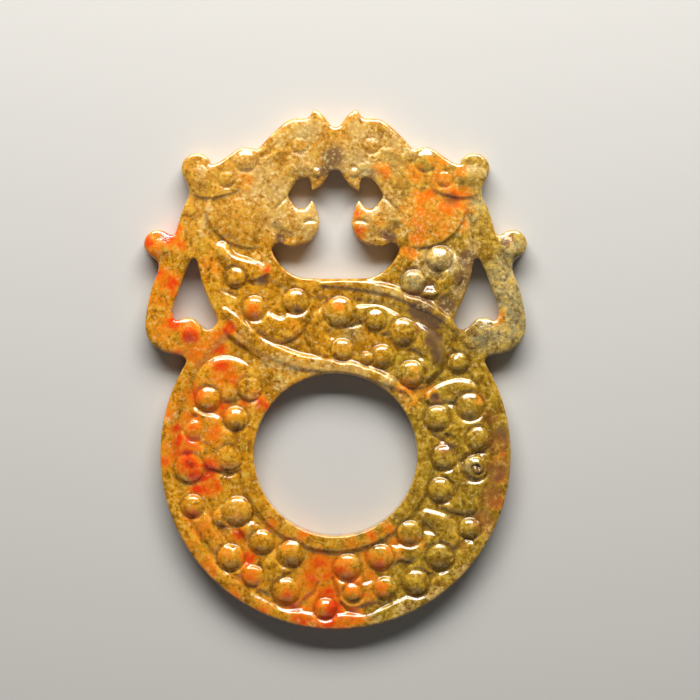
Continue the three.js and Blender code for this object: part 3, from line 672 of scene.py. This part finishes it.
finished = points_of(disc)
px, py, pz = finished.T
off_back = ease(pz, 0.2, 1.0)          # the stains fade out at the edge of the back
warm_side = 0.16 * ease(-px, 8, 45) * ease(-py, -42, -25) + 0.06 * ease(-py, 35, 75)
keep_on_points(disc, "iron_stain", (spread_of(IRON_PLACES, px, py) + warm_side) * off_back)
for stain, spots in (("brown_stain", BROWN_PLACES), ("grey_green", GREY_GREEN_PLACES),
                     ("rust", RUST_PLACES), ("wear_and_highlights", WEAR_AND_HIGHLIGHT_PLACES)):
    keep_on_points(disc, stain, spread_of(spots, px, py) * off_back)
keep_on_points(disc, "heads", ease(py, 30, 48))
keep_on_points(disc, "clear_foot", ease(-py, 38, 60))
keep_on_points(disc, "olive_side", ease(px - 0.2 * py, -18, 40))

# hollows, crests and worn edges: how far each point stands under or over its surroundings, in mm
SURROUNDINGS = 14                      # how many rounds of neighbours they take in
edges = np.empty(len(disc.data.edges) * 2, np.int32)
disc.data.edges.foreach_get("vertices", edges)
edges = edges.reshape(-1, 2)
neighbours = np.bincount(edges.ravel(), minlength=len(finished))
around = finished.copy()
for _ in range(SURROUNDINGS):
    total = np.empty_like(around)
    for axis in range(3):
        total[:, axis] = (np.bincount(edges[:, 0], around[edges[:, 1], axis], len(finished))
                          + np.bincount(edges[:, 1], around[edges[:, 0], axis], len(finished)))
    around = 0.5 * around + 0.5 * total / neighbours[:, None]
facing = np.empty(len(finished) * 3, np.float32)
disc.data.vertex_normals.foreach_get("vector", facing)
stands_out = np.sum((finished - around) * facing.reshape(-1, 3), axis=1)
keep_on_points(disc, "hollow", ease(-stands_out, 0.02, 0.22))
keep_on_points(disc, "crest", ease(stands_out, 0.03, 0.28))
keep_on_points(disc, "worn_edge", ease(stands_out, 0.28, 0.6))

jade = bpy.data.materials.new("polished_jade")
jade.use_nodes = True
tree = jade.node_tree
shader = tree.nodes["Principled BSDF"]
place_node = tree.nodes.new("ShaderNodeTexCoord")


def feed(socket, source):
    """Links a source into a socket, or sets the socket where the source is a plain value."""
    if isinstance(source, bpy.types.NodeSocket):
        tree.links.new(source, socket)
    else:
        socket.default_value = source


def cloudiness(per_metre, detail=3.0, roughness=0.55, distortion=0.0):
    """A noise pattern on the piece, with so many features to a metre."""
    noise = tree.nodes.new("ShaderNodeTexNoise")
    tree.links.new(place_node.outputs["Object"], noise.inputs["Vector"])
    noise.inputs["Scale"].default_value = per_metre
    noise.inputs["Detail"].default_value = detail
    noise.inputs["Roughness"].default_value = roughness
    noise.inputs["Distortion"].default_value = distortion
    return noise.outputs["Fac"]


def on_points(name):
    """An attribute of the piece's points."""
    attribute = tree.nodes.new("ShaderNodeAttribute")
    attribute.attribute_name = name
    return attribute.outputs["Fac"]


def work_out(operation, first, second, third=0.0):
    """A Math node's result."""
    math_node = tree.nodes.new("ShaderNodeMath")
    math_node.operation = operation
    for socket, source in zip(math_node.inputs, (first, second, third)):
        feed(socket, source)
    return math_node.outputs["Value"]


def between(value, low, high, out_low=0.0, out_high=1.0):
    """A smooth change from out_low, where a value is low, to out_high, where it is high."""
    ramp = tree.nodes.new("ShaderNodeMapRange")
    ramp.interpolation_type = "SMOOTHSTEP"
    for name, source in (("Value", value), ("From Min", low), ("From Max", high),
                         ("To Min", out_low), ("To Max", out_high)):
        feed(ramp.inputs[name], source)
    return ramp.outputs["Result"]


def swung(base, pattern, strength):
    """A value that a noise pattern moves up and down around a base."""
    return work_out("MULTIPLY_ADD", work_out("SUBTRACT", pattern, 0.5), strength, base)


def tinted(under, over, amount):
    """One colour laid over another by an amount from 0 to 1."""
    mix = tree.nodes.new("ShaderNodeMix")
    mix.data_type = "RGBA"             # its colour sockets are inputs 6 and 7, and output 2
    factor, under_colour, over_colour = mix.inputs[0], mix.inputs[6], mix.inputs[7]
    feed(factor, amount)
    feed(under_colour, under)
    feed(over_colour, over)
    return mix.outputs[2]


HONEY = (0.70, 0.29, 0.006, 1)
OLIVE = (0.42, 0.24, 0.014, 1)
MOSS = (0.30, 0.21, 0.014, 1)
GREY_GREEN = (0.40, 0.34, 0.16, 1)
AMBER = (0.84, 0.29, 0.012, 1)
ORANGE = (0.90, 0.19, 0.005, 1)
RED = (0.82, 0.040, 0.005, 1)
DARK_RED = (0.36, 0.012, 0.008, 1)
BROWN = (0.15, 0.075, 0.040, 1)
PALE = (0.88, 0.68, 0.28, 1)
STRAW = (0.80, 0.50, 0.055, 1)
UMBER = (0.13, 0.048, 0.004, 1)
RUST = (0.34, 0.115, 0.030, 1)
SKIN = (0.66, 0.43, 0.15, 1)

mottle = cloudiness(210, 5, 0.65, 0.5)
crystals = cloudiness(900, 2, 0.6, 0.2)
drift = cloudiness(48, 3, 0.5, 0.3)
moss_patches = cloudiness(115, 3, 0.6, 0.8)
flecks = cloudiness(520, 4, 0.7, 0.5)
veins = cloudiness(150, 4, 0.6, 1.4)


def frayed(name, mottling=0.9, fraying=0.45, graining=0.12):
    """A stain's strength, its edge broken up by the stone's mottling and crystals."""
    strength = swung(on_points(name), mottle, mottling)
    strength = swung(strength, flecks, fraying)
    return swung(strength, crystals, graining)


# how strong each stain is, and how the specks thin out on the stains, the heads and the foot
iron = swung(frayed("iron_stain"), veins, 0.9)
wear_and_highlights = frayed("wear_and_highlights", 0.8, 1.0, 0.8)
wear_and_highlights = work_out("MULTIPLY_ADD", on_points("heads"), 0.12, wear_and_highlights)
mossy = work_out("MULTIPLY_ADD", on_points("olive_side"), 0.55, 0.15)
dark_mottle = work_out("MULTIPLY_ADD", on_points("heads"), -0.22, 0.50)
cloudy = work_out("MULTIPLY_ADD", on_points("clear_foot"), -0.6, 1.0)
pale_specks = work_out("MULTIPLY", cloudy, between(iron, 0.5, 0.9, 0.52, 0.2))
dark_specks = between(work_out("MAXIMUM", iron, wear_and_highlights), 0.25, 0.7, 0.66, 0.24)
dark_specks = work_out("MULTIPLY_ADD", on_points("heads"), -0.12, dark_specks)
straw_flecks = between(iron, 0.5, 0.9, 0.58, 0.2)
skin_crystals = between(crystals, 0.50, 0.66, 0.0, 0.5)
pale_skin_and_highlights = work_out("MULTIPLY", between(wear_and_highlights, 0.25, 0.7), skin_crystals)

# the colours, from the body of the stone to the dirt and wear on it, with painted shade in the
# hollows, painted light on the crests and a few painted highlights
olive = swung(on_points("olive_side"), drift, 1.4)
body = tinted(HONEY, OLIVE, between(olive, 0.1, 0.9))
body = tinted(body, MOSS, between(moss_patches, 0.50, 0.66, 0.0, mossy))
body = tinted(body, GREY_GREEN, between(frayed("grey_green", 0.6, 0.4), 0.15, 0.7, 0.0, 0.9))
body = tinted(body, SKIN, work_out("MULTIPLY", on_points("heads"), 0.2))
body = tinted(body, UMBER, between(mottle, 0.54, 0.36, 0.0, dark_mottle))
body = tinted(body, STRAW, between(mottle, 0.52, 0.68, 0.0, 0.50))
# a paler skin where weathered, and painted highlights on the ear lobes, leg curls and left neck ridge
body = tinted(body, SKIN, between(wear_and_highlights, 0.25, 0.80, 0.0, 0.62))
body = tinted(body, AMBER, between(iron, 0.26, 0.52, 0.0, 0.75))
body = tinted(body, ORANGE, between(iron, 0.46, 0.74, 0.0, 0.88))
body = tinted(body, PALE, between(crystals, 0.55, 0.70, 0.0, pale_specks))
body = tinted(body, UMBER, between(crystals, 0.47, 0.30, 0.0, dark_specks))
body = tinted(body, RED, between(iron, 0.74, 0.98, 0.0, 0.88))
body = tinted(body, DARK_RED, between(iron, 1.10, 1.35, 0.0, 0.8))
body = tinted(body, RUST, between(frayed("rust"), 0.30, 0.80, 0.0, 0.8))
body = tinted(body, STRAW, between(flecks, 0.52, 0.62, 0.0, straw_flecks))
body = tinted(body, BROWN, between(frayed("brown_stain"), 0.34, 0.75, 0.0, 0.85))
# pale crystals on the weathered skin and on the painted highlights
body = tinted(body, PALE, pale_skin_and_highlights)
body = tinted(body, UMBER, between(flecks, 0.46, 0.34, 0.0, dark_specks))
# old dirt and painted shade: the hollows are painted darker
body = tinted(body, UMBER, work_out("MULTIPLY", on_points("hollow"), 0.62))
# painted light: the crests and the tops of the grains are painted lighter
body = tinted(body, STRAW, work_out("MULTIPLY", on_points("crest"), 0.4))
body = tinted(body, SKIN, work_out("MULTIPLY", on_points("worn_edge"), 0.6))
feed(shader.inputs["Base Color"], body)

# the polish: duller in the hollows, and nearly gone on the worn edges
sheen = work_out("MULTIPLY_ADD", on_points("hollow"), 0.12, between(flecks, 0.3, 0.7, 0.12, 0.2))
feed(shader.inputs["Roughness"], work_out("MULTIPLY_ADD", on_points("worn_edge"), 0.25, sheen))
feed(shader.inputs["Coat Weight"], work_out("MULTIPLY_ADD", on_points("worn_edge"), -0.5, 0.6))
shader.inputs["IOR"].default_value = 1.62
shader.inputs["Coat Roughness"].default_value = 0.07
shader.inputs["Subsurface Weight"].default_value = 0.35
shader.inputs["Subsurface Radius"].default_value = (1.0, 0.6, 0.25)
shader.inputs["Subsurface Scale"].default_value = 0.0012

# a fine unevenness of the skin, coarser where it is weathered
pitting = tree.nodes.new("ShaderNodeBump")
pitting.inputs["Strength"].default_value = 0.5
pitting.inputs["Distance"].default_value = 0.00012
grit = work_out("MULTIPLY", between(wear_and_highlights, 0.2, 0.8, 0.2, 2.2), flecks)
feed(pitting.inputs["Height"], work_out("ADD", grit, cloudiness(380, 3, 0.45)))
feed(shader.inputs["Normal"], pitting.outputs["Normal"])
disc.data.materials.append(jade)

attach(disc, "root")
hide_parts("jade_disc")
